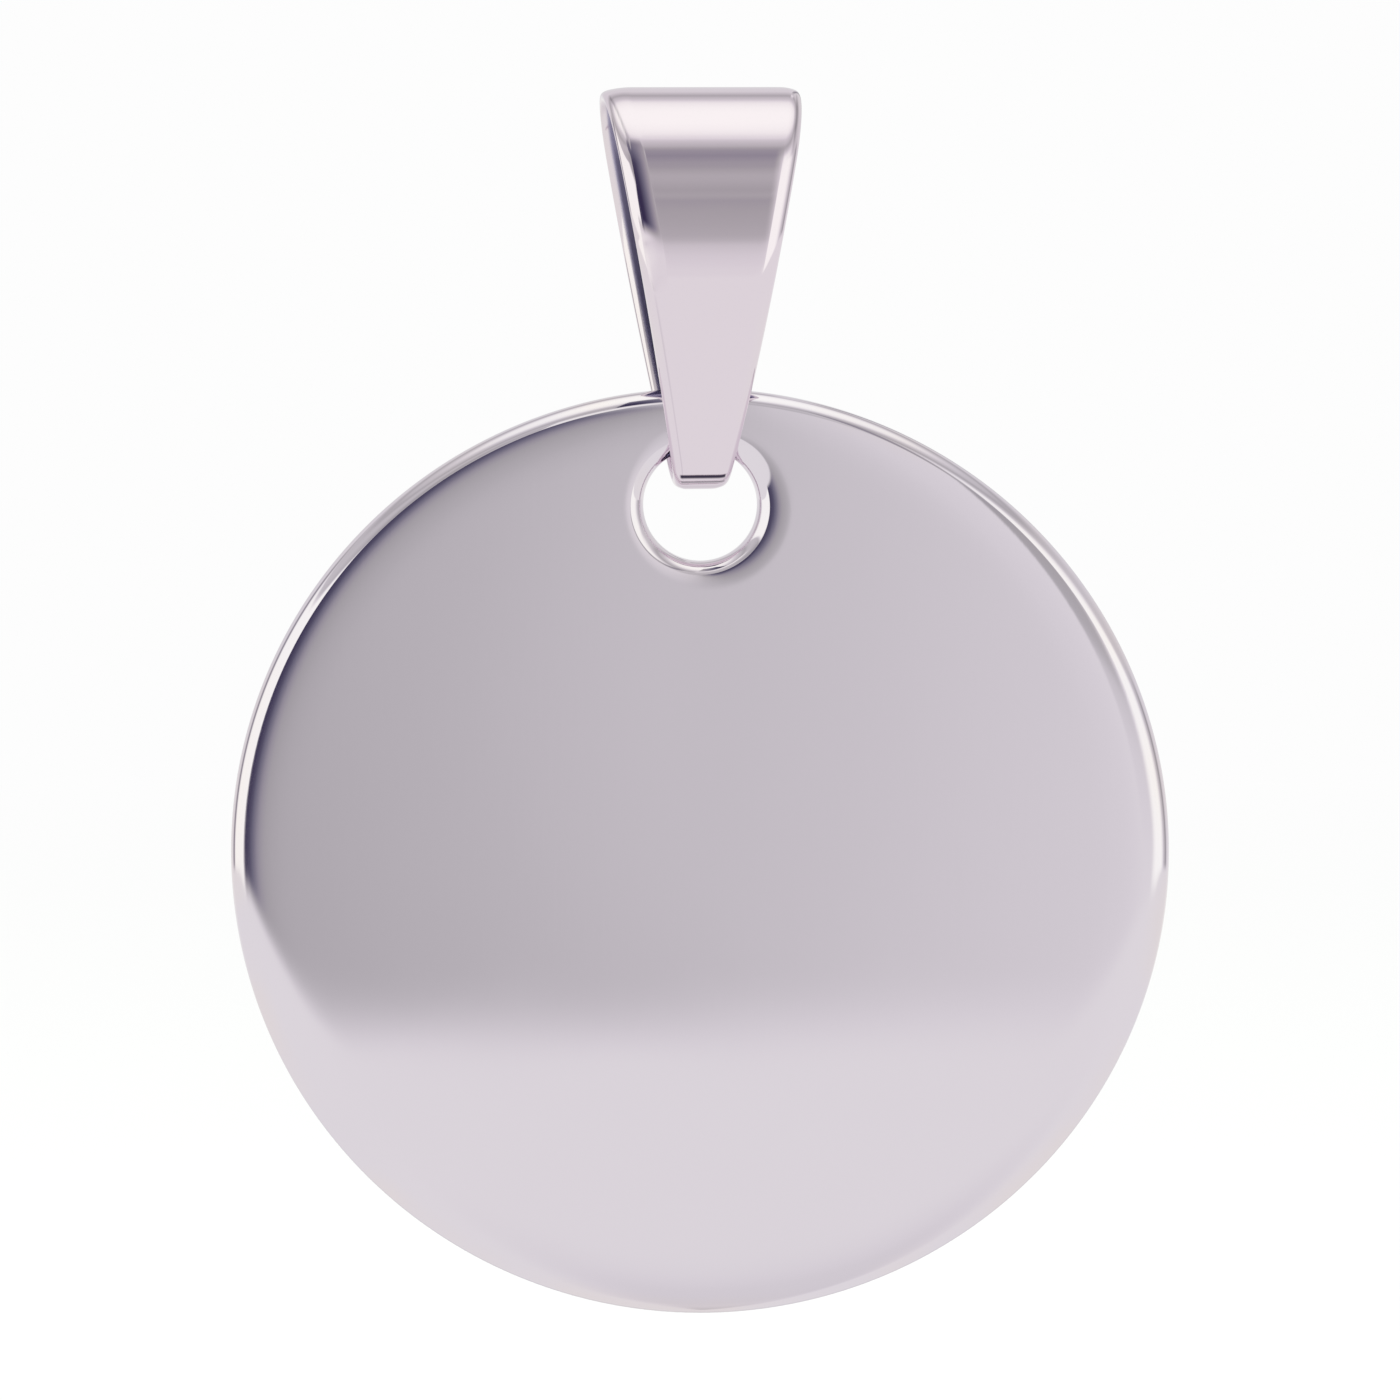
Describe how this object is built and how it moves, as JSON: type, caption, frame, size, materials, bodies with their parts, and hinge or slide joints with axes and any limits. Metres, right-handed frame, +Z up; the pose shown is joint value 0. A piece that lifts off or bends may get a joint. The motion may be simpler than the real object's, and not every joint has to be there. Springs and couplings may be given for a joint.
{
  "type": "disc pendant",
  "caption": "Plain round disc pendant of polished white metal, hung through a hole near its rim from a folded, tapered bail.",
  "frame": {"origin": "where a chain sits: the top of the space inside the bail, in the middle of its width", "axes": "+Z up along the hanging pendant, -Y out of the disc's front face, +X to the wearer's left as seen from the front, along the disc's face"},
  "size_m": [0.02, 0.004, 0.0263],
  "materials": {
    "disc_metal": "mirror polished white metal",
    "bail_metal": "mirror polished white metal"
  },
  "bodies": {
    "bail": {"bail": "bail_metal"},
    "disc": {"disc": "disc_metal"}
  },
  "joints": [
    {"name": "disc_swing", "type": "hinge", "parent": "bail", "child": "disc", "pos_m": [0, 0, -0.00727], "axis": [1, 0, 0], "range_deg": [-15, 15]}
  ]
}
